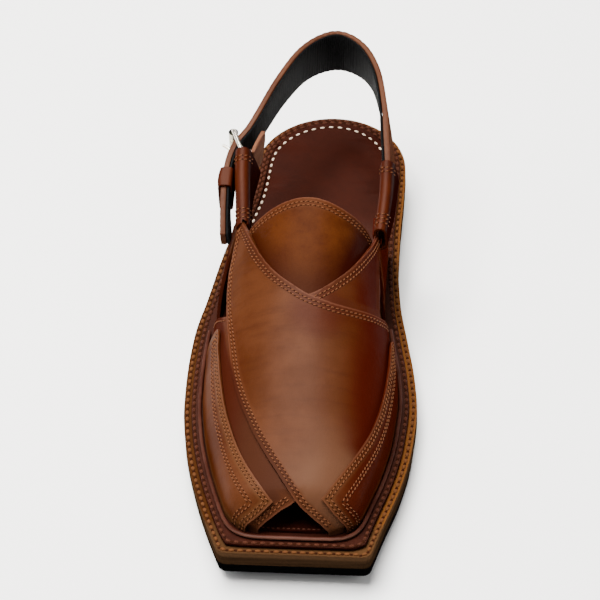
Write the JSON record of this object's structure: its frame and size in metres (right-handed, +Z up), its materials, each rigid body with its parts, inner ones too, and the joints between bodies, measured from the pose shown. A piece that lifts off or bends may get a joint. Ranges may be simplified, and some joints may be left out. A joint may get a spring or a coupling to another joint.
{
  "type": "peshawari chappal",
  "caption": "Open sandal with two crossed leather vamp panels, a toe opening, a welted leather sole on rubber, and a buckled heel strap.",
  "frame": {"origin": "on the floor, at the middle of the bounding box of the whole shoe", "axes": "-Y towards the toe, +Y towards the heel, +Z up, -X towards the wearer's outer side"},
  "size_m": [0.1116, 0.2903, 0.0863],
  "materials": {
    "black_rubber": "matt black rubber",
    "sole_leather": "amber natural leather, semi-gloss edge",
    "welt_leather": "dark maroon leather, semi-gloss",
    "footbed_leather": "dark maroon smooth leather",
    "vamp_leather": "burnished brown leather, glossy",
    "strap_leather": "red-brown leather, semi-gloss",
    "black_webbing": "black ribbed webbing",
    "suede": "tan suede, matt",
    "nickel": "bright nickel plate"
  },
  "bodies": {
    "root": {"outsole": "black_rubber", "heel": "black_rubber", "midsole": "sole_leather", "welt": "welt_leather", "toe_roll": "welt_leather", "insole": "footbed_leather", "upper": "vamp_leather", "tongue": "vamp_leather", "wing_lateral": "vamp_leather", "wing_medial": "vamp_leather", "side_loop_lateral": "vamp_leather", "side_loop_medial": "vamp_leather", "heel_strap": "strap_leather", "strap_lining": "black_webbing", "keeper": "vamp_leather", "buckle_guard": "suede", "buckle_frame": "nickel", "buckle_roller": "nickel", "buckle_prong": "nickel"}
  },
  "joints": []
}
